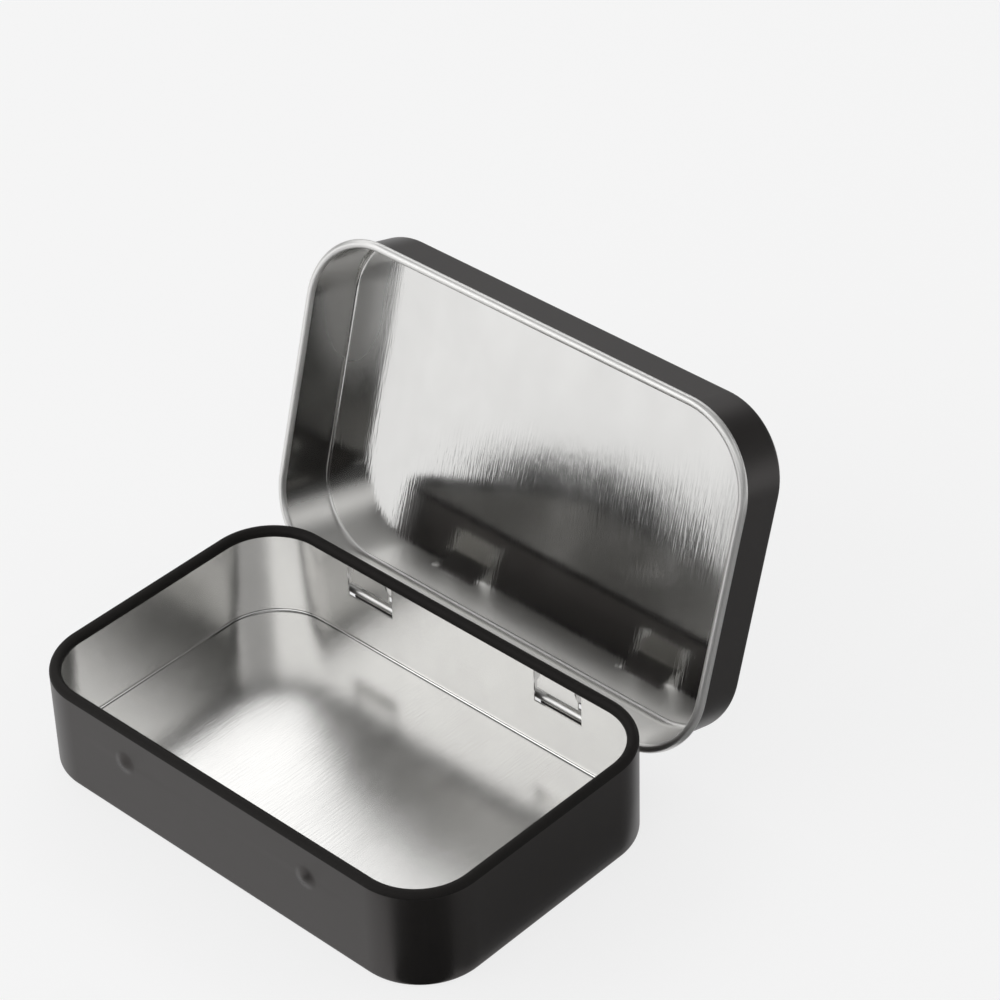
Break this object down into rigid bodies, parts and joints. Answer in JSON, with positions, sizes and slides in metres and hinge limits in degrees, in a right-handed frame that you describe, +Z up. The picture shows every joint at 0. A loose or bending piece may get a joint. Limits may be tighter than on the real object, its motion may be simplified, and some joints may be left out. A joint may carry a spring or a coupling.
{
  "type": "hinged metal tin",
  "caption": "Rounded rectangular pocket tin with an inward-curled base rim and a hinged lid that closes over it, for small keepsakes, mints or cards.",
  "frame": {"origin": "middle of the base's underside", "axes": "+Z up, +X along the hinge, front of the tin at -Y and the hinge at +Y"},
  "size_m": [0.1, 0.09, 0.0714],
  "materials": {
    "enamel": "satin black enamel on the outside of the tinplate",
    "tinplate": "bright bare tinplate with fine rolling lines"
  },
  "bodies": {
    "base": {"base_pan": "enamel", "hinge_strap_left": "tinplate", "hinge_strap_right": "tinplate"},
    "lid": {"lid_pan": "enamel"}
  },
  "joints": [
    {"name": "lid_hinge", "type": "hinge", "parent": "base", "child": "lid", "pos_m": [0, 0.03175, 0.0096], "axis": [1, 0, 0], "range_deg": [0, 106]}
  ]
}
